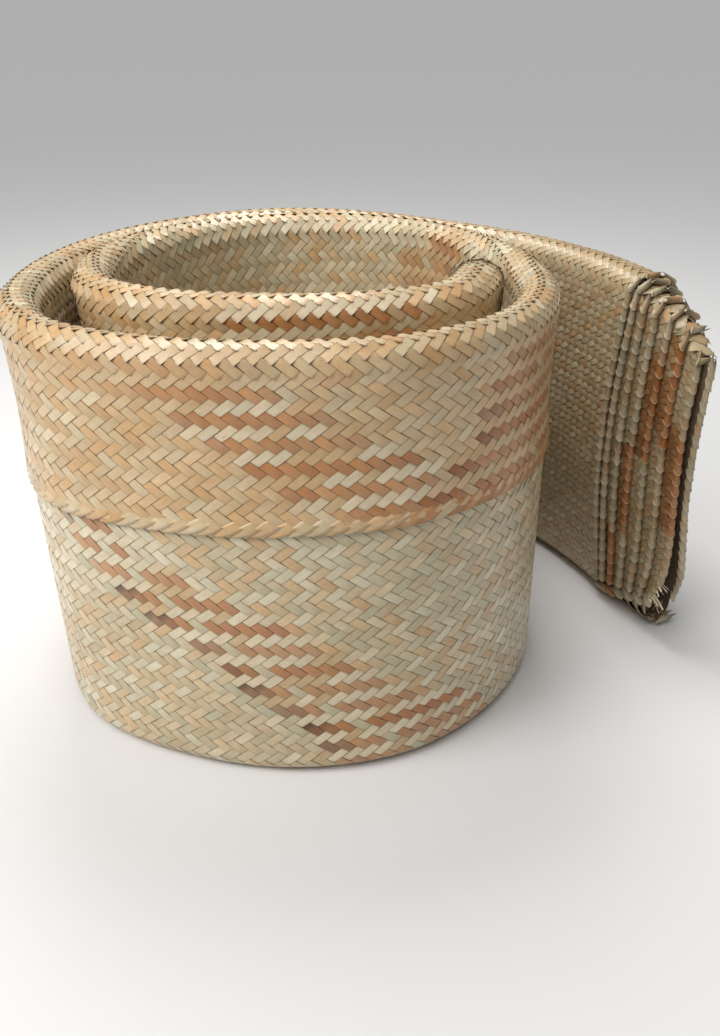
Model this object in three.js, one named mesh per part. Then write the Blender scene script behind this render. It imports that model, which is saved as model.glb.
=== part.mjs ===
import * as THREE from "three";

// A large plaited bamboo mat. The sheet is rolled over and over on itself into a flat band seven
// turns thick, the band stands on its long fold, and it is coiled into a loose roll of two turns
// with one end left free beside it. Millimetres, Z up, the floor at Z = 0.

// The folded band: its height, the sheet, the air between layers and down the middle, and the flap
// left by the last half turn, whose edge creeps up along the band because the roll is askew.
const BAND_HEIGHT = 230;
const SHEET = 1.0;
const LAYER_GAP = 0.35;
const FOLDS_OVER = 7;
const CORE_GAP = 1.4;
const CORE_SLACK = 0.9;
const FLAP_SHARE = 0.485;
const FLAP_LIFT = 1.5;
const FLAP_CREEP = 0.026;

// The free end: how far the turns stick out past one another and how loosely they lie there.
const TAIL_STEPS = 64;
const TAIL_SLANT = 5;
const TAIL_BOW = 10;
const TAIL_CURL = 0.3;
const TAIL_DROP = 0.9;
const TAIL_LOOSE = { head: 0.6, foot: 0.95, reach: 270 };

// The end inside the roll.
const INNER_STEPS = 30;
const INNER_LOOSE = { head: 0.3, foot: 0.3, reach: 170 };

// Cross-sections along the band, closer together where it bends and towards the free end.
const STATIONS = 37;
const BEND_CROWDING = 120;
const TAIL_CROWDING = 1.2;
const STEP_ZONE = { tail: 140, inner: 36 };

// The middle of the band seen from above, from the free end to the inner end, measured from the
// axis of the roll: x to the right, y to the back. top is the band's height there as a share of
// BAND_HEIGHT, tuck how far its foot leans in towards the hollow side of the coil.
const COIL = [
  { x: 238, y: 10, top: 0.84, tuck: -6 },
  { x: 231, y: 32, top: 0.9, tuck: -6 },
  { x: 220, y: 62, top: 0.928, tuck: -5 },
  { x: 204, y: 104, top: 0.94, tuck: -3 },
  { x: 184, y: 144, top: 0.94, tuck: 0 },
  { x: 155, y: 180, top: 0.943, tuck: 0 },
  { x: 112, y: 203, top: 0.955, tuck: 0 },
  { x: 55, y: 209, top: 0.98, tuck: 2 },
  { x: 0, y: 205, top: 0.995, tuck: 4 },
  { x: -55, y: 187, top: 0.995, tuck: 8 },
  { x: -99, y: 152, top: 0.99, tuck: 12 },
  { x: -126, y: 102, top: 0.99, tuck: 14 },
  { x: -137, y: 37, top: 0.995, tuck: 14 },
  { x: -130, y: -28, top: 1, tuck: 12 },
  { x: -102, y: -76, top: 1, tuck: 8 },
  { x: -46, y: -102, top: 1, tuck: 2 },
  { x: 12, y: -108, top: 1, tuck: -3 },
  { x: 68, y: -98, top: 1, tuck: 0 },
  { x: 113, y: -63, top: 1, tuck: 3 },
  { x: 137, y: -10, top: 1, tuck: 1 },
  { x: 138, y: 50, top: 1, tuck: 0 },
  { x: 120, y: 106, top: 1, tuck: 0 },
  { x: 85, y: 152, top: 1, tuck: 0 },
  { x: 37, y: 175, top: 1, tuck: 4 },
  { x: -18, y: 173, top: 1, tuck: 8 },
  { x: -65, y: 147, top: 1, tuck: 13 },
  { x: -97, y: 107, top: 1, tuck: 15 },
  { x: -109, y: 60, top: 1, tuck: 15 },
  { x: -98, y: 11, top: 1, tuck: 10 },
  { x: -59, y: -20, top: 1, tuck: 4 },
  { x: 0, y: -30, top: 1, tuck: 0 },
  { x: 55, y: -23, top: 1, tuck: 0 },
  { x: 90, y: -6, top: 1, tuck: 0 },
  { x: 102, y: 14, top: 1, tuck: 0 },
  { x: 111, y: 42, top: 1, tuck: 0 },
];
const PLAN_CENTRE = { x: 48.16, y: 49.54 };

const PITCH = SHEET + LAYER_GAP;
const HALF = (PITCH * (2 * FOLDS_OVER) + CORE_GAP) / 2;
const RIM_DEG = [0, 60, 90, 120, 180];
const FOLD_DEG = [0, 60, 120, 180];

// One fold of the sheet about a point in the middle of the band, as points with outward normals.
// wide is its reach across the band, tall its reach up or down.
function fold(wide, tall, across, height, up, angles) {
  return angles.map((deg) => {
    const a = THREE.MathUtils.degToRad(deg);
    const side = up ? Math.cos(a) : -Math.cos(a);
    const rise = up ? Math.sin(a) : -Math.sin(a);
    const normal = new THREE.Vector2(side / wide, rise / tall).normalize();
    return { q: across + wide * side, z: height + tall * rise, nq: normal.x, nz: normal.y };
  });
}

// The middle of the sheet in the band's cross-section: q goes from the hollow side of the coil (-)
// to its outer side (+). It starts at the free edge of the flap on the outer side and winds inwards
// to the other edge, which stands in the core. head and foot say how loosely the layers lie at the
// upper and the lower folds, 1 being tight, and tail is 1 at the free end of the band.
function section(head, foot, top, flap, tail) {
  const upper = HALF * head;
  const lower = HALF * foot;
  const curl = 1 + TAIL_CURL * tail;
  const bow = TAIL_BOW * tail;
  const lowest = ((HALF - PITCH / 2) * curl + SHEET / 2) * Math.cos(Math.PI / 6);
  const high = BAND_HEIGHT * top - HALF - SHEET / 2;
  const middle = (lowest + high) / 2;
  const edge = BAND_HEIGHT * top * (1 - flap);
  const lifted = THREE.MathUtils.lerp(lower, upper, 1 - flap) + FLAP_LIFT;
  const points = [{ q: lifted, z: edge, nq: 1, nz: 0 }];
  for (let k = 0; k < FOLDS_OVER; k++) {
    const step = k * PITCH;
    const crest = high - k * TAIL_DROP * tail;
    points.push(...fold(upper - step * head, HALF - step, 0, crest, true, k ? FOLD_DEG : RIM_DEG));
    const half = (upper + lower) / 2 - (step * (head + foot)) / 2;
    points.push({ q: -half - bow, z: middle, nq: -1, nz: 0 });
    const low = step + PITCH / 2;
    const slack = k === FOLDS_OVER - 1 ? CORE_SLACK / 2 : 0;
    const wide = lower - low * foot - slack;
    const across = (-PITCH * foot) / 2 - slack;
    points.push(...fold(wide, (HALF - low) * curl, across, lowest, false, FOLD_DEG));
  }
  const last = FOLDS_OVER * PITCH;
  const core = (upper + lower - last * (head + foot)) / 2 - CORE_SLACK - bow;
  points.push({ q: core, z: middle, nq: 1, nz: 0 });
  points.push({ q: upper - last * head - CORE_SLACK, z: high - 6, nq: 1, nz: 0 });
  let run = 0;
  points.forEach((p, i) => {
    if (i) run += Math.hypot(p.q - points[i - 1].q, p.z - points[i - 1].z);
    p.turns = run / (2 * BAND_HEIGHT);
  });
  return points;
}

const path = new THREE.CatmullRomCurve3(
  COIL.map((row) => new THREE.Vector3(row.x, row.y, row.top)),
  false,
  "centripetal",
);
path.arcLengthDivisions = 2000;
const leans = new THREE.SplineCurve(COIL.map((row, i) => new THREE.Vector2(i, row.tuck)));
const LENGTH = path.getLength();

// Share of an end effect at a distance from that end: full at the end, none past its reach.
function fade(distance, reach) {
  const t = THREE.MathUtils.clamp(1 - distance / reach, 0, 1);
  return t * t * (3 - 2 * t);
}

function sectionAt(along, top) {
  const tail = fade(along, TAIL_LOOSE.reach);
  const inner = fade(LENGTH - along, INNER_LOOSE.reach);
  const head = 1 + TAIL_LOOSE.head * tail + INNER_LOOSE.head * inner;
  const foot = 1 + TAIL_LOOSE.foot * tail + INNER_LOOSE.foot * inner;
  return section(head, foot, top, FLAP_SHARE - (FLAP_CREEP * along) / BAND_HEIGHT, tail);
}

// The sheet's end edges run across its layers at a slant, so that each turn ends further on.
function tailEnd(p) {
  const wound = Math.min(p.turns / (FOLDS_OVER - 0.4), 1);
  return TAIL_STEPS * (1 - wound ** 1.6) + TAIL_SLANT * (1 - p.z / BAND_HEIGHT);
}

function innerEnd(p) {
  return (INNER_STEPS * p.turns) / FOLDS_OVER;
}

// Distances along the band from its free end.
function stations() {
  const samples = 600;
  const step = LENGTH / samples;
  const sum = [0];
  const before = new THREE.Vector3();
  const after = new THREE.Vector3();
  for (let i = 1; i <= samples; i++) {
    path.getTangentAt((i - 1) / samples, before);
    path.getTangentAt(i / samples, after);
    const straight = step * (1 + TAIL_CROWDING * fade(i * step, STEP_ZONE.tail));
    sum.push(sum[i - 1] + straight + BEND_CROWDING * before.angleTo(after));
  }
  const found = [];
  for (let i = 0; i < STATIONS; i++) {
    const wanted = (sum[samples] * i) / (STATIONS - 1);
    const j = Math.max(1, sum.findIndex((value) => value >= wanted - 1e-6));
    found.push((j - (sum[j] - wanted) / (sum[j] - sum[j - 1])) * step);
  }
  return found;
}

// Where each point of each cross-section lies along the band.
const even = section(1, 1, 1, FLAP_SHARE, 0);
const rows = stations().map((plain) =>
  even.map((p) => {
    const nearTail = Math.max(0, 1 - plain / STEP_ZONE.tail);
    const nearInner = Math.max(0, 1 - (LENGTH - plain) / STEP_ZONE.inner);
    return plain + tailEnd(p) * nearTail - innerEnd(p) * nearInner;
  }),
);

// Both faces of the sheet, half its thickness to either side of its middle.
const positions = [];
const count = even.length;
const at = new THREE.Vector3();
const heading = new THREE.Vector3();
for (const row of rows) {
  row.forEach((along, k) => {
    const u = THREE.MathUtils.clamp(along / LENGTH, 0, 1);
    path.getPointAt(u, at);
    path.getTangentAt(u, heading);
    const flat = Math.hypot(heading.x, heading.y);
    const tuck = leans.getPoint(path.getUtoTmapping(u)).y;
    const p = sectionAt(along, at.z)[k];
    for (const side of [1, -1]) {
      const z = Math.max(0, p.z + (side * p.nz * SHEET) / 2);
      const q = p.q + (side * p.nq * SHEET) / 2 - tuck * (1 - z / BAND_HEIGHT);
      const x = at.x + (heading.y / flat) * q - PLAN_CENTRE.x;
      const y = at.y - (heading.x / flat) * q - PLAN_CENTRE.y;
      positions.push(x, y, z);
    }
  });
}

// The faces between neighbouring sections, split along the same diagonal in every layer so that
// layers lying close together keep clear of each other, then the sheet's four edges.
const vertex = (i, k, side) => 2 * (i * count + k) + side;
const index = [];
const quad = (a, b, c, d) => index.push(a, c, b, a, d, c);
for (let i = 0; i + 1 < STATIONS; i++) {
  for (let k = 0; k + 1 < count; k++) {
    const level = even[k].z === even[k + 1].z;
    const rising = even[k].z < even[k + 1].z || (level && even[k].z > BAND_HEIGHT / 2);
    const a = (side) => vertex(i, k, side);
    const b = (side) => vertex(i, k + 1, side);
    const c = (side) => vertex(i + 1, k + 1, side);
    const d = (side) => vertex(i + 1, k, side);
    if (rising) {
      quad(a(0), b(0), c(0), d(0));
      quad(a(1), d(1), c(1), b(1));
    } else {
      quad(b(0), c(0), d(0), a(0));
      quad(b(1), a(1), d(1), c(1));
    }
  }
  const e = count - 1;
  quad(vertex(i, 0, 1), vertex(i, 0, 0), vertex(i + 1, 0, 0), vertex(i + 1, 0, 1));
  quad(vertex(i, e, 0), vertex(i, e, 1), vertex(i + 1, e, 1), vertex(i + 1, e, 0));
}
for (let k = 0; k + 1 < count; k++) {
  const e = STATIONS - 1;
  quad(vertex(0, k + 1, 0), vertex(0, k, 0), vertex(0, k, 1), vertex(0, k + 1, 1));
  quad(vertex(e, k, 0), vertex(e, k + 1, 0), vertex(e, k + 1, 1), vertex(e, k, 1));
}

const geometry = new THREE.BufferGeometry();
geometry.setAttribute("position", new THREE.Float32BufferAttribute(positions, 3));
geometry.setIndex(index);
const plaited = new THREE.MeshStandardMaterial({ color: 0xc9b48a, roughness: 0.5, metalness: 0 });
const mat = new THREE.Mesh(geometry, plaited);
mat.name = "mat";

const group = new THREE.Group();
group.add(mat);
export default group;
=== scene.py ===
import math

import bpy
import numpy as np
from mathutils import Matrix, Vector


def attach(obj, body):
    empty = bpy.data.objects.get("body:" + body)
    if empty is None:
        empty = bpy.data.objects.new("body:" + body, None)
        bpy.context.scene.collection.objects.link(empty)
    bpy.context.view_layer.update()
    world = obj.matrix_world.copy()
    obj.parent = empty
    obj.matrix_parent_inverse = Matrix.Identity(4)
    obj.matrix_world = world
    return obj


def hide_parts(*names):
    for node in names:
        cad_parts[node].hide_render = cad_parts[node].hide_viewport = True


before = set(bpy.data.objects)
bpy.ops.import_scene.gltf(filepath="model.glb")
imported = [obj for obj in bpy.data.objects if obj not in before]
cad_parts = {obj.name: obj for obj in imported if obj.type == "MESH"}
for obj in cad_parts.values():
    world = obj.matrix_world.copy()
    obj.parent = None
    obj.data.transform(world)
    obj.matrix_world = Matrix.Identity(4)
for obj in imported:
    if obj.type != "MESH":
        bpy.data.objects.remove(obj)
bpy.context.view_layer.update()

# The camera looks down into the coil from the front, close enough for the near wall to loom and
# the rim to open out like the mouth of a basket.
camera = bpy.data.objects.new("camera", bpy.data.cameras.new("camera"))
bpy.context.scene.collection.objects.link(camera)
camera.location = (-0.00446, -0.59004, 0.36493)
looking_down = 27
camera.rotation_euler = (math.radians(90 - looking_down), 0, 0)
camera.data.sensor_width = 36
camera.data.lens = camera.data.sensor_width * 1035 / 1036
camera.data.clip_start = 0.01
bpy.context.scene.camera = camera

# The mat: one sheet of split bamboo rolled over seven times into a flat band, which stands on its
# long fold and is coiled twice round. What shows of the sheet itself, down the slits between the
# strips and on the inner face of each turn, is painted near black-brown as shade for the slits.
strip_width = 5.42
band_height = 230
sheet_thickness = 1.0
layer_pitch = 1.35
turns = 7
core_gap = 1.4
half_width = (layer_pitch * 2 * turns + core_gap) / 2
core_slack = 0.9
creep = 0.026
flap_share = 0.485
tail_reach, tail_head, tail_foot = 270, 0.6, 0.95
inner_reach, inner_loose = 170, 0.3
tail_steps, tail_curve, turns_stepped = 64, 1.6, turns - 0.4
inner_steps = 30
# The middle of the band in plan from the free end to the inner end: x, y, the share of the height
# its top reaches, and how far its foot leans in.
coil = np.array([
    (238, 10, 0.84, -6), (231, 32, 0.9, -6), (220, 62, 0.928, -5), (204, 104, 0.94, -3),
    (184, 144, 0.94, 0), (155, 180, 0.943, 0), (112, 203, 0.955, 0), (55, 209, 0.98, 2),
    (0, 205, 0.995, 4), (-55, 187, 0.995, 8), (-99, 152, 0.99, 12), (-126, 102, 0.99, 14),
    (-137, 37, 0.995, 14), (-130, -28, 1, 12), (-102, -76, 1, 8), (-46, -102, 1, 2),
    (12, -108, 1, -3), (68, -98, 1, 0), (113, -63, 1, 3), (137, -10, 1, 1),
    (138, 50, 1, 0), (120, 106, 1, 0), (85, 152, 1, 0), (37, 175, 1, 4),
    (-18, 173, 1, 8), (-65, 147, 1, 13), (-97, 107, 1, 15), (-109, 60, 1, 15),
    (-98, 11, 1, 10), (-59, -20, 1, 4), (0, -30, 1, 0), (55, -23, 1, 0),
    (90, -6, 1, 0), (102, 14, 1, 0), (111, 42, 1, 0)])
middle_of_plan = np.array([48.16, 49.54])


def smooth_course(rows, steps=80):
    """Evenly stepped points of a centripetal curve through the rows."""
    ends = np.vstack([2 * rows[0] - rows[1], rows, 2 * rows[-1] - rows[-2]])
    u = np.arange(steps)[:, None] / steps
    found = []
    for a, b, c, d in zip(ends, ends[1:], ends[2:], ends[3:]):
        ab, bc, cd = (np.linalg.norm((q - p)[:2]) ** 0.5 for p, q in ((a, b), (b, c), (c, d)))
        leave = ((b - a) / ab - (c - a) / (ab + bc) + (c - b) / bc) * bc
        arrive = ((c - b) / bc - (d - b) / (bc + cd) + (d - c) / cd) * bc
        found.append(b + leave * u + (3 * (c - b) - 2 * leave - arrive) * u**2
                     + (2 * (b - c) + leave + arrive) * u**3)
    return np.vstack([*found, rows[-1:]])


course = smooth_course(coil)
run = np.concatenate([[0], np.cumsum(np.hypot(*np.diff(course[:, :2], axis=0).T))])
band_length = run[-1]
heading = np.gradient(course[:, :2], run, axis=0)
course = np.column_stack([course, heading / np.linalg.norm(heading, axis=1)[:, None]])

fold_radius = [half_width - k * layer_pitch / 2 for k in range(2 * turns)]
fold_length = [math.pi * r for r in fold_radius]
straight = band_height - half_width - sheet_thickness / 2 - fold_radius[1] - sheet_thickness / 2
fold_start = [-fold_length[0] / 2]
for length in fold_length[:-1]:
    fold_start.append(fold_start[-1] + length + straight)
sheet_end = fold_start[-1] + fold_length[-1] + straight - 6


def fade(distance, reach):
    t = np.clip(1 - distance / reach, 0, 1)
    return t * t * (3 - 2 * t)


def at(s):
    """Plan place, top, tuck and heading of the band at s along it from the free end."""
    return [np.interp(s, run, c) for c in course.T]


def flap(s):
    """How far the outermost half turn hangs down from the rim fold."""
    share = flap_share - creep * s / band_height
    top = at(s)[2]
    sag = 3.0 * np.exp(-((s - 1010) / 95) ** 2)
    return (band_height * top * share - half_width - sheet_thickness / 2) / stretch(s) + sag


def stretch(s):
    """How much of its full height a straight run has at s."""
    tail = fade(s, tail_reach)
    high = band_height * at(s)[2] - half_width - sheet_thickness / 2
    return (high - fold_radius[1] * (1 + 0.3 * tail) - sheet_thickness / 2) / straight


def flap_edge(s):
    return fold_start[0] - flap(s)


def turns_ended(s):
    """How many of the outer turns have ended before s, near the free end."""
    return turns_stepped * np.clip(1 - s / tail_steps, 0, 1) ** (1 / tail_curve) - 0.73


def section(s, t):
    """Across the band (q) and up it (z): the middle of the sheet at t round the roll from the
    crest of the outermost rim fold, at s along the band."""
    s, t = np.broadcast_arrays(np.asarray(s, float), np.asarray(t, float))
    tail, inner = fade(s, tail_reach), fade(band_length - s, inner_reach)
    head = 1 + tail_head * tail + inner_loose * inner
    foot = 1 + tail_foot * tail + inner_loose * inner
    upper, lower = half_width * head, half_width * foot
    missing = np.clip(turns_ended(s), 0, turns)
    loose = missing / turns
    high = band_height * at(s)[2] - half_width - sheet_thickness / 2
    round_foot = 1 + 0.3 * tail + 0.75 * loose
    low = fold_radius[1] * round_foot + sheet_thickness / 2
    bow = 10 * tail

    def fold(k):
        """Middle, half width, height and half height of a fold."""
        if k % 2 == 0:
            wide = np.maximum(upper - k / 2 * layer_pitch * head, 0.6)
            return 0 * s, wide, high - k / 2 * 0.9 * tail, fold_radius[k]
        slack = core_slack / 2 if k == 2 * turns - 1 else 0
        place = k - 1.8 * np.minimum(missing, (k - 1) / 2)
        wide = np.maximum(lower - place / 2 * layer_pitch * foot - slack, 0.6)
        return (-layer_pitch * foot / 2 - slack - 7 * loose, np.maximum(wide - 7 * loose, 0.6), low,
                (half_width - place * layer_pitch / 2) * round_foot)

    q, z = np.zeros_like(s), np.zeros_like(s)
    down = fold_start[0] - t
    over = down > 0
    hang = np.clip(down / flap(s), 0, 1)
    edge = lower + (upper - lower) * (0.515 + creep * s / band_height) + 1.5
    q[over] = (upper + (edge - upper) * hang - 2.2 * np.sin(np.pi * hang * 0.9) * (1 - tail))[over]
    z[over] = (high - down * stretch(s))[over]
    for k in range(2 * turns):
        middle, wide, height, tall = fold(k)
        up = 1 if k % 2 == 0 else -1
        here = (t >= fold_start[k]) & (t < fold_start[k] + fold_length[k])
        a = np.pi * (t - fold_start[k]) / fold_length[k]
        q[here] = (middle + up * wide * np.cos(a))[here]
        z[here] = (height + up * tall * np.sin(a))[here]
        here = t >= fold_start[k] + fold_length[k]
        if k + 1 < 2 * turns:
            here &= t < fold_start[k + 1]
            there, wide_there, height_there, _ = fold(k + 1)
            target = there - up * wide_there
        else:
            target, height_there = upper - turns * layer_pitch * head - core_slack, high
        f = (t - fold_start[k] - fold_length[k]) / straight
        along = np.clip(f, 0, 1)
        leave = middle - up * wide
        belly = np.sin(np.pi * along)
        if k % 2 == 0:
            share, bowed = along ** (1 + 3.5 * loose), 1 - 0.75 * loose * along
        else:
            share, bowed = 1 - (1 - along) ** (1 + 2.5 * loose), 0.8 - 0.2 * loose
        q[here] = (leave + (target - leave) * share - bow * belly * bowed)[here]
        z[here] = (height + (height_there - height) * f)[here]
    return q, z


def wound(s, t, lift=0.0):
    """Points on the wound sheet in metres, lift millimetres out from its middle."""
    q, z = section(s, t)
    q1, z1 = section(s, t + 0.25)
    q0, z0 = section(s, t - 0.25)
    slope = np.hypot(q1 - q0, z1 - z0) + 1e-9
    q = q + lift * (z1 - z0) / slope
    z = np.maximum(z - lift * (q1 - q0) / slope, 0.03)
    x, y, _, tuck, hx, hy = at(s)
    q = q - tuck * (1 - z / band_height)
    return np.stack([x + hy * q - middle_of_plan[0], y - hx * q - middle_of_plan[1], z], -1) / 1000


def wound_turns(t):
    return (t - flap_edge(0.0)) / (2 * band_height)


def tail_end(t):
    """Where along the band the sheet's outer end edge lies: each turn sticks out further."""
    share = np.clip(wound_turns(t) / turns_stepped, 0, 1)
    z = section(np.full_like(t, band_length / 2), t)[1]
    return tail_steps * (1 - share**tail_curve) + 14 * share**5 * np.exp(-(z / 30) ** 2)


def inner_end(t):
    return band_length - inner_steps * np.clip(wound_turns(t), 0, None) / turns


def make_mesh(name, points, faces):
    mesh = bpy.data.meshes.new(name)
    mesh.vertices.add(len(points))
    mesh.vertices.foreach_set("co", np.asarray(points, np.float32).ravel())
    faces = np.asarray(faces, np.int32)
    sides = faces.shape[1]
    mesh.loops.add(faces.size)
    mesh.loops.foreach_set("vertex_index", faces.ravel())
    mesh.polygons.add(len(faces))
    mesh.polygons.foreach_set("loop_start", np.arange(0, faces.size, sides, dtype=np.int32))
    mesh.update(calc_edges=True)
    mesh.polygons.foreach_set("use_smooth", np.ones(len(faces), bool))
    piece = bpy.data.objects.new(name, mesh)
    bpy.context.scene.collection.objects.link(piece)
    return piece


def grid_faces(rows, columns, first=0):
    a = first + (np.arange(rows - 1)[:, None] * columns + np.arange(columns - 1)).ravel()
    return np.stack([a, a + columns, a + columns + 1, a + 1], 1)


def paint(piece, name, kind, values):
    layer = piece.data.attributes.new(name, kind, "POINT")
    field = "color" if kind == "FLOAT_COLOR" else "vector"
    layer.data.foreach_set(field, np.asarray(values, np.float32).ravel())


class Reading:
    """A number or colour that varies over a finish; sums on it add nodes."""

    def __init__(self, finish, socket):
        self.finish, self.socket = finish, socket

    def _sum(self, operation, a, b):
        return self.finish.node("ShaderNodeMath", {"operation": operation}, {0: a, 1: b})

    def __add__(self, other): return self._sum("ADD", self, other)
    def __radd__(self, other): return self._sum("ADD", other, self)
    def __sub__(self, other): return self._sum("SUBTRACT", self, other)
    def __rsub__(self, other): return self._sum("SUBTRACT", other, self)
    def __mul__(self, other): return self._sum("MULTIPLY", self, other)
    def __rmul__(self, other): return self._sum("MULTIPLY", other, self)
    def __lt__(self, other): return self._sum("LESS_THAN", self, other)
    def __abs__(self): return self._sum("ABSOLUTE", self, 0)


class Finish:
    """A material under construction."""

    def __init__(self, name):
        self.material = bpy.data.materials.new(name)
        self.material.use_nodes = True
        self.tree = self.material.node_tree
        self.tree.nodes.clear()

    def node(self, kind, settings=None, sockets=None, out=0):
        made = self.tree.nodes.new(kind)
        for key, value in (settings or {}).items():
            setattr(made, key, value)
        for key, value in (sockets or {}).items():
            if isinstance(value, Reading):
                self.tree.links.new(value.socket, made.inputs[key])
            else:
                made.inputs[key].default_value = value
        return Reading(self, made.outputs[out])

    def ramp(self, value, low, high):
        return self.node("ShaderNodeMapRange", {"interpolation_type": "SMOOTHSTEP"},
                         {"Value": value, "From Min": low, "From Max": high})

    def mix(self, share, a, b, blend="MIX"):
        def colour(value):
            return value if isinstance(value, Reading) else (*value, 1)
        return self.node("ShaderNodeMix", {"data_type": "RGBA", "blend_type": blend},
                         {0: share, 6: colour(a), 7: colour(b)}, out=2)

    def noise(self, place, scale, detail=3, rough=0.6):
        return self.node("ShaderNodeTexNoise", {"noise_dimensions": "3D"},
                         {"Vector": place, "Scale": scale, "Detail": detail, "Roughness": rough})

    def surface(self, **sockets):
        body = self.node("ShaderNodeBsdfPrincipled", {},
                         {key.replace("_", " "): value for key, value in sockets.items()})
        last = self.tree.nodes.new("ShaderNodeOutputMaterial")
        self.tree.links.new(body.socket, last.inputs[0])
        return self.material


# Rows of the sheet: on the flap by how far down they hang, then by their place round the roll.
eighths = np.arange(8) / 8
rows_hang = list(1 - eighths)
rows_t = [None] * len(rows_hang)
for start, length in zip(fold_start, fold_length):
    rows_t += [*(start + eighths * length), *(start + length + eighths * straight)]
rows_t[-1:] = [sheet_end - 12, sheet_end]
rows_hang += [0] * (len(rows_t) - len(rows_hang))
across = np.linspace(0, 1, 200)
sheet_s, sheet_t = [], []
for place, hang in zip(rows_t, rows_hang):
    s = across * band_length
    for _ in range(2):
        t = fold_start[0] - hang * (flap(s) - 2.5) if place is None else np.full_like(s, place)
        first, last = tail_end(t) + 0.6, inner_end(t) - 0.6
        s = first + (last - first) * across
    sheet_s.append(s)
    sheet_t.append(t)
sheet_s, sheet_t = np.array(sheet_s), np.array(sheet_t)
sheet = make_mesh("wound-sheet", wound(sheet_s, sheet_t, -0.2).reshape(-1, 3),
                  grid_faces(*sheet_s.shape))
paint(sheet, "place", "FLOAT_VECTOR", np.stack([sheet_s, sheet_t, 0 * sheet_s], -1))

# Painted shade: the sheet is coloured near black-brown to stand for the shade down the slits
# between the strips.
slit_shade = Finish("slit-shade-painted")
place = slit_shade.node("ShaderNodeAttribute", {"attribute_name": "place"}, out=1)
mottle = slit_shade.noise(place, 0.05, 4)
slit_shade_colour = slit_shade.mix(mottle, (0.09, 0.055, 0.03), (0.19, 0.13, 0.08))
bump = slit_shade.node("ShaderNodeBump", {}, {"Height": mottle, "Strength": 0.4, "Distance": 0.0004})
sheet.data.materials.append(slit_shade.surface(Base_Color=slit_shade_colour, Roughness=0.75, Normal=bump))
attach(sheet, "root")
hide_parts("mat")

# The plait: flat strips of split bamboo with the skin side out, each passing over two and under
# two on the diagonal, so the face shows rows of slanting stretches twice as long as they are wide.
# They are too stiff to bend sharply, so at the rim their ends stand off and leave slits.
noise_table = np.random.default_rng(7).random(8192)
square = strip_width * math.sqrt(2)
skew, weave_middle = 0.033, 120
# How far apart the rows lie at each s along the band.
row_heights = np.array([(0, 4.9), (230, 5.0), (600, 6.0), (1040, 6.0), (1180, 7.1), (1330, 7.1),
                        (1480, 6.1), (1780, 5.8)])


def chance(number, salt):
    return noise_table[(np.round(np.asarray(number)).astype(int) * 131 + salt * 977) % 8192]


def drift(number, place, salt):
    """A random share that changes smoothly with place."""
    step = np.floor(place)
    f = place - step
    f = f * f * (3 - 2 * f)
    return chance(number * 53 + step, salt) * (1 - f) + chance(number * 53 + step + 1, salt) * f


def row_height(s):
    """The plait is drawn out along the band, so its rows lie closer than a strip's pitch."""
    s = np.clip(s, 0, row_heights[-1, 0] - 1)
    k = np.searchsorted(row_heights[:, 0], s, side="right") - 1
    a, b = row_heights[k], row_heights[k + 1]
    f = (s - a[..., 0]) / (b[..., 0] - a[..., 0])
    return a[..., 1] + (b[..., 1] - a[..., 1]) * f * f * (3 - 2 * f)


def round_the_roll(x, z):
    """From the flat mat, x along its edge and z across it, to t round the roll."""
    return weave_middle + (z - weave_middle + skew * x) * row_height(x) / square


def on_the_flat(s, t):
    return weave_middle + (t - weave_middle) * square / row_height(s) - skew * s


def stretches(x0, x1, z0, z1):
    """The strips' visible stretches over a part of the flat mat: middle (x, z), rising or falling,
    and the strip's number."""
    def strips(low, high):
        return np.arange(math.floor(low / square) - 2, math.ceil(high / square) + 2)

    i, j = np.meshgrid(strips(x0 + z0, x1 + z1), strips(z0 - x1, z1 - x0), indexing="ij")
    rising, falling = (i + j) % 4 == 0, (i + j) % 4 == 2
    u = np.concatenate([i[rising] + 1, i[falling] + 0.5])
    v = np.concatenate([j[rising] + 0.5, j[falling] + 1])
    lean = np.concatenate([np.ones(rising.sum()), -np.ones(falling.sum())])
    number = np.concatenate([j[rising], i[falling]])
    x, z = (u - v) * square / 2, (u + v) * square / 2
    keep = (x > x0) & (x < x1) & (z > z0) & (z < z1)
    return x[keep], z[keep], lean[keep], number[keep]


def stretch_shape(along):
    """One stretch: a slightly crowned top that dips under its neighbours at both ends, and sides.
    Rows of (along, across, height), and the faces."""
    half, foot, thickness, crown = 0.475, 0.495, 0.55, 0.09
    top = np.interp(np.abs(along), [0, 0.5, 0.85, 1.1], [0.46, 0.44, 0.24, -0.16])
    shape = [(a, b, h + crown * (b == 0)) for a, h in zip(along, top) for b in (-half, 0, half)]
    faces = [grid_faces(len(along), 3)]
    for side in (-1, 1):
        first = len(shape)
        for a, h in zip(along, top):
            shape += [(a, side * half, h), (a, side * foot, h - thickness)]
        quads = grid_faces(len(along), 2, first)
        faces.append(quads if side < 0 else quads[:, ::-1])
    return np.array(shape), np.vstack(faces)


straw = np.array([0.63, 0.475, 0.28])
grey_green = np.array([0.53, 0.47, 0.31])
pale = np.array([0.76, 0.68, 0.50])
tan = np.array([0.60, 0.34, 0.14])
warm_straw = np.array([0.60, 0.40, 0.20])
orange = np.array([0.39, 0.122, 0.022])
brown = np.array([0.20, 0.060, 0.010])
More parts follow.
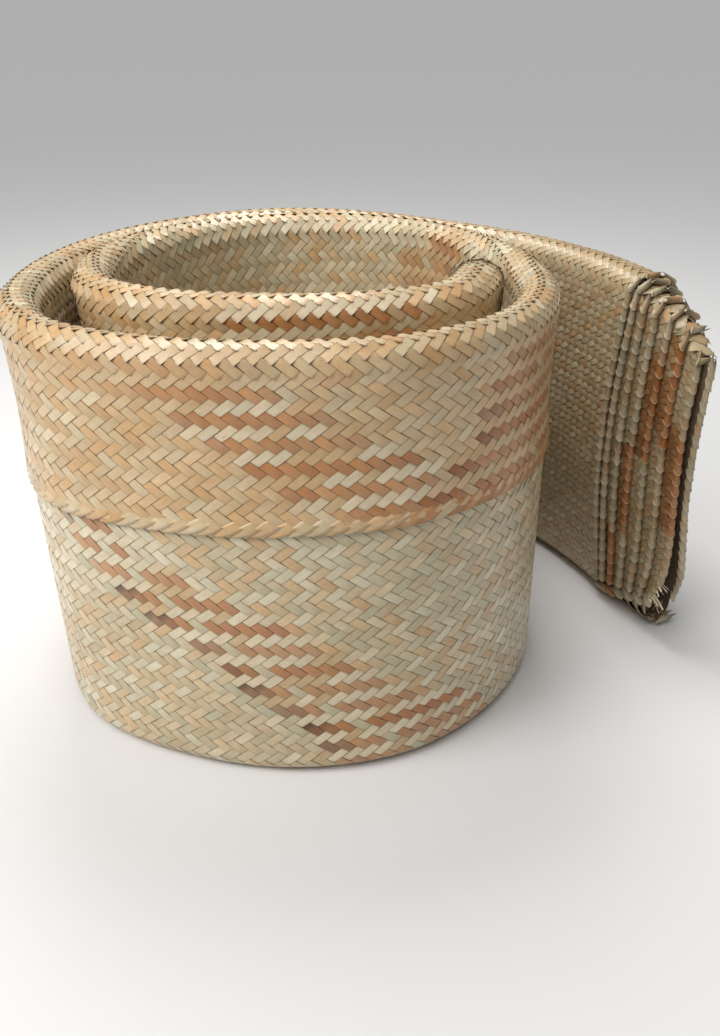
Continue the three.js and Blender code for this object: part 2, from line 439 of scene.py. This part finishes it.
# Where the falling strips were stained: how strongly, the colour of the first stretch of each row,
# the colour of the rising strips between, and rows of (t, from s, to s).
stains = [
    (0.95, brown, pale, [(380, 720, 745), (369, 727, 752), (358, 733, 780), (343, 750, 813),
                         (331, 768, 838), (321, 787, 848), (309, 800, 864), (296, 813, 880),
                         (284, 830, 900), (271, 843, 933), (250, 858, 945)]),
    (0.85, orange, pale, [(-30, 773, 828), (-43, 790, 867), (-54, 808, 880), (-64, 817, 897),
                          (-74, 833, 922), (-84, 857, 925), (-97, 880, 930)]),
    (0.95, orange * 0.7, tan, [(-16, 945, 985), (-40, 930, 1005), (-66, 920, 1010),
                               (-78, 900, 1015), (-92, 890, 1010)]),
    (0.35, tan, warm_straw, [(-10, 740, 830), (-20, 730, 813), (-30, 750, 800)]),
    (0.9, orange, pale, [(-13, 1588, 1682), (-23, 1588, 1682)]),
    (0.8, brown, tan, [(12, 1140, 1160), (24, 1140, 1196), (42, 1138, 1196), (54, 1150, 1180)]),
]
# Which turns are stained at the free end, and between what shares of the height.
stained_turns = {2: (0.02, 0.31), 3: (0.28, 0.62), 4: (0.54, 0.90),
                 5: (0.62, 0.98), 6: (0.36, 0.75)}
tail_seen = 90


def between_marks(value, low, high, sharpness):
    return np.clip((value - low) * sharpness, 0, 1) * np.clip((high - value) * sharpness, 0, 1)


def stained_edge(s, t):
    """1 where the free end's edges are stained."""
    z = section(np.full_like(t, 40.0), t)[1] / 200
    hit = np.zeros_like(t)
    for turn, (low, high) in stained_turns.items():
        first = fold_start[2 * turn] + fold_length[2 * turn] * 0.4
        visible = (t > first) & (t < first + fold_length[2 * turn] + straight)
        hit = np.maximum(hit, visible * between_marks(z, low, high, 30))
    return hit * (s < tail_seen)


def toward(colour, goal, share):
    return colour + (goal - colour) * share[:, None]


def tint(s, z, t, lean, number):
    """Colour of each stretch, and how far its first end is charred."""
    strip = number * 2 + (lean > 0)
    along = (z - lean * s) / square
    a, b, c = drift(strip, along / 9, 1), drift(strip, along / 6, 2), drift(strip, along / 4, 3)
    own = chance(strip * 17 + np.round(along), 4)
    sunned = np.clip((10 - t) / 14, 0, 1) * (0.35 + 0.5 * drift(strip // 3, along / 14, 5))
    mixed = toward(straw, grey_green, np.clip(a * 1.5 - 0.1, 0, 1))
    mixed = toward(mixed, warm_straw, sunned)
    warm = np.clip((b - 0.64 + 0.14 * sunned) * 3.2, 0, 1) * (0.45 + 0.45 * c)
    mixed = toward(mixed, tan, warm)
    bleached = np.clip((760 + (t - 330) * 1.6 - s) / 60, 0, 1) * np.clip((t - 250) / 20, 0, 1)
    bleached = bleached * (s > 480)
    light = np.clip((c - 0.55 + 0.22 * (lean > 0) + 0.3 * bleached) * 1.6, 0, 1)
    mixed = toward(mixed, pale, light * (1 - warm) * (0.75 - 0.35 * sunned))
    charred = np.zeros(len(s))
    for strength, first, between, rows in stains:
        rows = np.array(sorted(rows))
        inside = (t > rows[0, 0] - 5) & (t < rows[-1, 0] + 5)
        start, stop = (np.interp(t, rows[:, 0], rows[:, side]) for side in (1, 2))
        share = np.clip((s - start + 4) / 3, 0, 1) * np.clip((stop - s + 4) / 6, 0, 1) * inside
        row = np.round(z / square)
        fall = share * (lean < 0) * strength * (0.72 + 0.28 * chance(row, 21)) * (own > 0.06)
        near = np.clip((start + 14 - s) / 8, 0, 1) * (chance(row, 22) > 0.2)
        tone = toward(orange, tan, 0.35 * chance(row, 24) + 0.15 * own)
        mixed = toward(mixed, toward(tone, first, near), fall)
        burnt = fall * near * (first is brown) * (chance(row * 3, 23) > 0.4)
        charred = np.maximum(charred, burnt)
        rise = share * (lean > 0) * 0.75
        mixed = toward(mixed, between * 0.6 + straw * 0.36, rise * (own > 0.25))
        mixed = toward(mixed, warm_straw, rise * (own <= 0.25))
    if s.min() < tail_seen:
        tone = orange * 0.85 + (tan - orange) * (0.5 * own)[:, None]
        mixed = toward(mixed, tone, 0.8 * stained_edge(s, t) * (own > 0.12))
    # Painted shade: the free end is darkened within 420 mm of its tip, standing in for the coil's
    # shadow falling on it.
    tail_shade_painted = np.array([0.25, 0.30, 0.36])
    mixed = mixed * (1 - tail_shade_painted * fade(s, 420)[:, None])
    return mixed * (0.90 + 0.17 * own)[:, None], charred


rim_stiffness, foot_stiffness = 1.35, 0.12


def plait(name, s0, s1, t0, t1, keep=None):
    """Plaits the face of the sheet from s0 to s1 and t0 to t1."""
    ends = on_the_flat(np.array([s0, s0, s1, s1]), np.array([t0, t1, t0, t1]))
    x, z, lean, number = stretches(s0, s1, ends.min(), ends.max())
    t = round_the_roll(x, z)
    inside = (t > t0) & (t < t1) & (t > flap_edge(x) + 1)
    if keep is not None:
        inside &= keep(x, t)
    x, z, lean, number, t = (v[inside] for v in (x, z, lean, number, t))
    bend, stand_off = np.zeros(len(x)), np.zeros(len(x))
    for k in range(2 * turns):
        half_fold = fold_length[k] / 2
        near = np.clip((half_fold + 3.5 - np.abs(t - fold_start[k] - half_fold)) / 5, 0, 1)
        bend = np.maximum(bend, near)
        stiff = (rim_stiffness if k % 2 == 0 else foot_stiffness) / (2 * fold_radius[k])
        stand_off = np.maximum(stand_off, near * stiff)
    colour, charred = tint(x, z, t, lean, number)
    points, faces, colours, grains, flats = [], [], [], [], []
    rough = [chance(number * 2 + (lean > 0) + np.round(x + z) * 3, k) - 0.5 for k in range(11, 17)]
    seed = chance(number * 3 + np.round(x) * 5 + np.round(z) * 11, 9)
    spread = 0.96
    for curved in (False, True):
        which = (bend > 0.02) == curved
        if not which.any():
            continue
        along = np.array([-1.1, -0.85, -0.42, 0, 0.42, 0.85, 1.1] if curved
                         else [-1.1, -0.85, 0, 0.85, 1.1])
        shape, quads = stretch_shape(along)
        a, b, h = (shape[:, k][None, :] for k in range(3))
        mx, mz, ln = (v[which][:, None] for v in (x, z, lean))

        def flat_place(a, b):
            """Along and across a stretch to the flat mat."""
            return (mx + square / 2 * ln * (a - b), mz + square / 2 * (a + b))

        width, twist, shift, roll, pitch, rise = (w[which][:, None] for w in rough)
        ps, pz = flat_place(a - 0.035 * twist * b,
                            b * (1 + 0.06 * width) + 0.035 * twist * a + 0.03 * shift)
        pt = round_the_roll(ps, pz)
        off = (pt - t[which][:, None]) ** 2 * stand_off[which][:, None]
        lift = h + 0.34 * roll * b + 0.10 * pitch * a + 0.08 * rise + off
        ps = np.clip(ps, tail_end(pt) + 0.3, inner_end(pt) - 0.3)
        pt = np.maximum(pt, flap_edge(ps) + 3.0)
        m, v = ps.shape
        first = sum(map(len, points)) + np.arange(m)[:, None, None] * v
        faces.append((quads[None] + first).reshape(-1, 4))
        points.append(wound(ps, pt, lift).reshape(-1, 3))
        burnt = charred[which][:, None, None] * np.clip((a - 0.2) * 2, 0, 1)[..., None]
        # Painted shade: each stretch darkens where it dips, down its sides and at its tucked ends,
        # as shade in the gaps.
        recess_shade = np.interp(h, [-0.2, 0.2], [0.55, 1])[..., None]
        shown = colour[which][:, None, :] * (1 - 0.7 * burnt) * recess_shade
        colours.append(np.concatenate([shown, np.ones((m, v, 1))], -1).reshape(-1, 4))
        grain = np.broadcast_arrays(a * strip_width, b, seed[which][:, None] * 50)
        grains.append(np.stack(grain, -1).reshape(-1, 3))
        flats.append(np.stack(flat_place(a * spread / 1.1, b * spread), -1).reshape(-1, 2))
    piece = make_mesh(name, np.vstack(points), np.vstack(faces))
    paint(piece, "tint", "FLOAT_COLOR", np.vstack(colours))
    paint(piece, "grain", "FLOAT_VECTOR", np.vstack(grains))
    flat = np.vstack(flats)
    low, size = flat.min(0) - 2, np.ptp(flat, axis=0).max() + 4
    corner = np.empty(len(piece.data.loops), np.int32)
    piece.data.loops.foreach_get("vertex_index", corner)
    layer = piece.data.uv_layers.new(name="OFBake")
    layer.data.foreach_set("uv", ((flat[corner] - low) / size).astype(np.float32).ravel())
    return piece


bamboo = Finish("split-bamboo")
tinted = bamboo.node("ShaderNodeAttribute", {"attribute_name": "tint"}, out=0)
grain = bamboo.node("ShaderNodeAttribute", {"attribute_name": "grain"}, out=1)


def scaled(vector, factors):
    return bamboo.node("ShaderNodeVectorMath", {"operation": "MULTIPLY"},
                       {0: vector, 1: factors})


fibre = bamboo.noise(scaled(grain, (0.05, 7.0, 1.0)), 1.6, 4, 0.65)
patch = bamboo.noise(scaled(grain, (0.12, 0.8, 1.0)), 1.5, 3, 0.6)
across_strip = bamboo.node("ShaderNodeSeparateXYZ", {}, {0: grain}, out=1)
edge_shade_band = bamboo.ramp(abs(across_strip), 0.40, 0.47)
mottle = bamboo.noise(scaled(grain, (0.22, 1.1, 1.0)), 1.1, 4, 0.7)
shade = bamboo.node("ShaderNodeCombineColor", {}, {
    0: 0.70 + fibre * 0.34 + patch * 0.26,
    1: 0.60 + fibre * 0.38 + patch * 0.42,
    2: 0.46 + fibre * 0.46 + patch * 0.62})
colour = bamboo.mix(1.0, tinted, shade, "MULTIPLY")
weathered, burn_mark, edge_shade_colour = (0.36, 0.17, 0.075), (0.10, 0.04, 0.018), (0.14, 0.08, 0.035)
colour = bamboo.mix(bamboo.ramp(mottle, 0.60, 0.78) * 0.40, colour, weathered)
speck = bamboo.node("ShaderNodeTexVoronoi", {"feature": "F1"},
                    {"Vector": scaled(grain, (0.25, 1.4, 1.0)), "Scale": 0.9})
colour = bamboo.mix((speck < 0.052) * 0.75, colour, burn_mark)
# Painted shade: a dark band along both edges of each strip, where it meets the gap to its
# neighbour.
colour = bamboo.mix(edge_shade_band * 0.32, colour, edge_shade_colour)
bump = bamboo.node("ShaderNodeBump", {}, {"Height": fibre, "Strength": 0.35, "Distance": 0.0003})
split_bamboo = bamboo.surface(Base_Color=colour, Roughness=0.24 + fibre * 0.2,
                              Coat_Weight=0.2, Coat_Roughness=0.2, Normal=bump)


def finish_piece(piece):
    piece.data.materials.append(split_bamboo)
    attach(piece, "root")


skin_end = fold_start[1] + fold_length[1] + 150
breaks = [0, 430, 830, 1190, 1500, band_length]
for number, (s0, s1) in enumerate(zip(breaks, breaks[1:])):
    finish_piece(plait(f"plait-{number + 1}", s0, s1, -160, skin_end))

# The free end: the seven turns stick out one past the next like a drawn-out telescope, so a
# stepped stripe of the plait shows on each.


def on_a_step(s, t):
    return (s < tail_end(t - 2 * band_height) + 14) & (s > tail_end(t))


finish_piece(plait("plait-free-end", 0, 84, skin_end - 8, sheet_end, on_a_step))

# The selvedge: at the ends of the mat each pair of strips turns back round its neighbours, which
# makes a cord of short slanting wraps, each tucked under the next and ending in a thin lip painted
# pale as a highlight.


def dress(piece, colours, grain):
    """Colours and material of a piece made of strips."""
    paint(piece, "tint", "FLOAT_COLOR", colours)
    paint(piece, "grain", "FLOAT_VECTOR", grain)
    finish_piece(piece)


def corded_edge(name, s, t, inward, spacing, plump=1.0):
    """Wraps along an edge of the sheet through (s, t); inward is the step into the sheet. Where
    the edge folds too tightly for them, the wraps are left out."""
    middle = wound(s, t, 0.45)
    step = np.linalg.norm(middle[2:] - middle[:-2], axis=1)
    open_edge = np.concatenate([[True], step > 1.15 * spacing / 1000, [True]])
    s, t, middle = s[open_edge], t[open_edge], middle[open_edge]
    edge = np.gradient(middle, axis=0)
    edge /= np.linalg.norm(edge, axis=1)[:, None]
    outward = middle - wound(s + inward, t, 0.45)
    outward -= edge * (outward * edge).sum(1)[:, None]
    outward /= np.linalg.norm(outward, axis=1)[:, None]
    face = np.cross(edge, outward)
    face *= np.sign((face * (wound(s, t, 1.5) - middle)).sum(1))[:, None]
    angle = np.radians(np.linspace(-125, 125, 11))
    across = np.array([-1.06, -1.04, -0.97, -0.91, -0.5, 0.2, 0.9, 1.2])
    radius = np.array([0.86, 1.15, 1.20, 1.0, 1.0, 0.93, 0.80, 0.62])
    count = len(s)
    rng = np.random.default_rng(count)
    size = (1 + 0.2 * (rng.random(count) - 0.5))[:, None, None]
    turn, b = np.meshgrid(angle, across, indexing="ij")
    out = np.broadcast_to(radius, turn.shape)
    down = np.where(np.gradient(middle[:, 2]) < 0, 1, -1)[:, None, None]
    droop = 0.34 * (1 - np.cos(turn)) - 0.10 * turn
    slide = (-b * 0.5 - droop) * down * spacing
    beyond = np.cos(turn) * 1.9 * plump * out * size + 0.2
    above = np.sin(turn) * 1.95 * plump * out * size + 0.35
    points = middle[:, None, None] + (edge[:, None, None] * slide[..., None]
                                      + (outward[:, None, None] * beyond[..., None]
                                         + face[:, None, None] * above[..., None])) / 1000
    points[..., 2] = np.maximum(points[..., 2], 0.00003)
    quads = grid_faces(len(angle), len(across))
    faces = (quads[None] + np.arange(count)[:, None, None] * turn.size).reshape(-1, 4)
    piece = make_mesh(name, points.reshape(-1, 3), faces)
    own, _ = tint(s, t, t, np.ones(count), np.arange(count) * 3)
    tone = orange * 0.8 + (tan - orange) * 0.35 * rng.random(count)[:, None]
    own = toward(own * 0.85, tone, 0.95 * stained_edge(s, t))
    # Painted highlight: the thin lip at the lower end of each wrap is coloured pale where it turns
    # round the edge.
    lip_highlight = ((b < -0.95) * 0.9)[None, ..., None]
    shaded = np.interp(b, [-0.9, 0.3, 1.2], [1.05, 0.9, 0.4])[None, ..., None]
    painted_lip_highlight = (0.35 * own + 0.65 * pale)[:, None, None, :]
    colours = own[:, None, None, :] * shaded * (1 - lip_highlight) + painted_lip_highlight * lip_highlight
    colours = np.concatenate([colours, np.ones_like(colours[..., :1])], -1)
    seed = rng.random(count)[:, None, None] * 50
    dress(piece, colours, np.stack(np.broadcast_arrays(slide, 0.4 * turn / 2.2, seed), -1))


wrap = 8.8
edge_t = np.arange(float(flap_edge(float(tail_steps))) + 3, sheet_end, wrap)
corded_edge("selvedge-free-end", tail_end(edge_t), edge_t, 3, wrap)
edge_t = np.arange(float(flap_edge(band_length)) + 3, sheet_end, wrap)
corded_edge("selvedge-inner-end", inner_end(edge_t), edge_t, -3, wrap, 0.6)

# Along the flap the strips turn back on the slant and lie flat, two or three split lengths side by
# side, each ending in a point on the edge.
edge_s = np.arange(68, band_length - 14, square * 1.06)
count = len(edge_s)
rng = np.random.default_rng(5)
leaf_along, leaf_across = np.meshgrid(
    np.linspace(0, 1, 9), np.array([-1.04, -1, -0.34, -0.3, 0.3, 0.34, 1, 1.04]), indexing="ij")
taper = np.interp(leaf_along, [0, 0.06, 0.3, 0.5, 1], [0.05, 0.32, 0.85, 1.0, 0.9])
jitter = rng.random((count, 4))[:, :, None, None] - 0.5
length, width = 17 * (1 + 0.2 * jitter[:, 0]), 3.1 * (1 + 0.2 * jitter[:, 1])
slope = math.atan(0.60) + 0.08 * jitter[:, 2]
a, b = leaf_along * length, (leaf_across * taper + 0.35 * (1 - leaf_along) ** 2) * width
leaf_s = edge_s[:, None, None] + a * np.cos(slope) - b * np.sin(slope)
leaf_t = flap_edge(leaf_s) + a * np.sin(slope) + b * np.cos(slope) + 0.2
groove = 0.12 * (np.abs(np.abs(leaf_across) - 0.32) < 0.1) * (leaf_along < 0.9)
height = (np.interp(leaf_along, [0, 0.15, 0.6, 1], [0.2, 0.5, 0.6, 0.1]) - 0.14 * leaf_across
          - groove - 0.9 * (np.abs(leaf_across) > 1))
points = wound(leaf_s.clip(0, band_length), np.maximum(leaf_t, flap_edge(leaf_s) - 1.5),
               height + 0 * leaf_s)
quads = grid_faces(*leaf_along.shape)
faces = (quads[None] + np.arange(count)[:, None, None] * leaf_along.size).reshape(-1, 4)
leaves = make_mesh("selvedge-flap", points.reshape(-1, 3), faces)
own, _ = tint(edge_s, 0 * edge_s, flap_edge(edge_s), -np.ones(count), np.arange(count) * 5)
colours = np.concatenate([own, np.ones((count, 1))], -1)[:, None, None]
colours = colours + np.zeros((1, *leaf_along.shape, 1))
seed = rng.random(count)[:, None, None] * 50
dress(leaves, colours, np.stack(np.broadcast_arrays(a, 0.42 * leaf_across, seed), -1))

# Loose ends: a few split ends of the innermost strips stick out of the hollow at the foot of the
# free end, pale where they were cut.
rng = np.random.default_rng(12)
ends, end_faces, end_grain = [], [], []
a, b = np.meshgrid(np.linspace(0, 1, 6), np.linspace(-1, 1, 3), indexing="ij")
for k in range(9):
    t = fold_start[-1] - 8.0 - 2.5 * k
    s = tail_end(t) + 1.0
    root = wound(s, t, 1.0)
    aim = root - wound(s + 6.0, t, 1.0)
    aim = aim / np.linalg.norm(aim) + (0.3 * rng.random() - 0.15, 0, 0.7 * rng.random() - 0.1)
    aim /= np.linalg.norm(aim)
    wide = np.cross(aim, (rng.random() - 0.5, 0.2, 1.0))
    wide /= np.linalg.norm(wide)
    long, half = 0.008 + 0.007 * rng.random(), 0.0006 + 0.0007 * rng.random()
    curl = np.array([0.3 * (rng.random() - 0.5), 0, -0.35]) * long
    end_faces.append(grid_faces(*a.shape, sum(map(len, ends))))
    ends.append((root + aim * (a * long)[..., None] + curl * (a**2)[..., None]
                 + wide * (b * half * (1 - 0.5 * a))[..., None]).reshape(-1, 3))
    end_grain.append(np.stack([a * 15, 0.3 * b, 0 * a + k * 5], -1).reshape(-1, 3))
ends = np.vstack(ends)
loose_ends = make_mesh("loose-ends", ends, np.vstack(end_faces))
dress(loose_ends, np.tile([*(pale * 0.9), 1], (len(ends), 1)), np.vstack(end_grain))

# The floor is a plain pale sheet, lit by a wide soft sun, a square window up on the left and a
# skylight behind.
reach = 60
floor = make_mesh("floor", [(-reach, -reach, 0), (reach, -reach, 0), (reach, reach, 0),
                            (-reach, reach, 0)], [(0, 1, 2, 3)])
floor_finish = Finish("floor-white")
floor.data.materials.append(floor_finish.surface(Base_Color=(0.78, 0.78, 0.78, 1), Roughness=0.9))

daylight = bpy.data.lights.new("daylight", "SUN")
daylight.energy, daylight.angle = 1.35, math.radians(50)
sky = bpy.data.objects.new("daylight", daylight)
sky.rotation_euler = (math.radians(28), 0, math.radians(-30))
bpy.context.scene.collection.objects.link(sky)
for name, place, power in (("window", (-0.72, -0.48, 0.70), 5),
                           ("skylight", (-0.12, 0.38, 1.05), 7)):
    lamp = bpy.data.lights.new(name, "AREA")
    lamp.shape, lamp.size, lamp.energy, lamp.color = "SQUARE", 0.5, power, (1, 0.985, 0.96)
    light = bpy.data.objects.new(name, lamp)
    light.location = place
    aim = Vector((0, 0, 0.1)) - light.location
    light.rotation_euler = aim.to_track_quat("-Z", "Y").to_euler()
    bpy.context.scene.collection.objects.link(light)
world = bpy.data.worlds.new("room")
bpy.context.scene.world = world
world.use_nodes = True
background = world.node_tree.nodes["Background"]
background.inputs[0].default_value = (1, 1, 1, 1)
background.inputs[1].default_value = 0.19
bpy.context.scene.view_settings.view_transform = "Standard"
